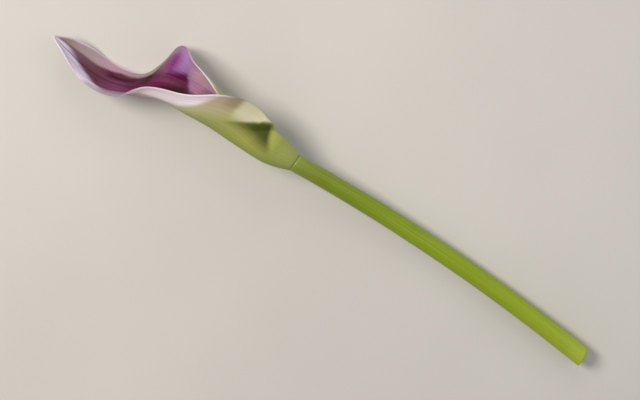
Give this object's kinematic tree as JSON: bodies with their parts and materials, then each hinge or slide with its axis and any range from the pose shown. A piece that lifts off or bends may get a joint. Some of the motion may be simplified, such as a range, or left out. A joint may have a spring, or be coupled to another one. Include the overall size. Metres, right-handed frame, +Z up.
{
  "type": "calla lily flower",
  "caption": "Picked calla lily flower lying on its side: bowed stem, rolled spathe with a curled tongue and a flared side lobe, and a spadix inside.",
  "frame": {"origin": "middle of the bounding box's bottom face, on the surface that the flower lies on", "axes": "+Z up from the surface, +X along the flower from the tip of its spathe to the cut end of its stem"},
  "size_m": [0.2288, 0.0306, 0.0256],
  "materials": {
    "spathe": "satin, maroon in the throat, lilac at the lips, cream green outside",
    "spadix": "matt, grainy",
    "stem": "satin, faintly ribbed"
  },
  "bodies": {
    "root": {"spathe": "spathe", "spadix": "spadix", "stem": "stem"}
  },
  "joints": []
}
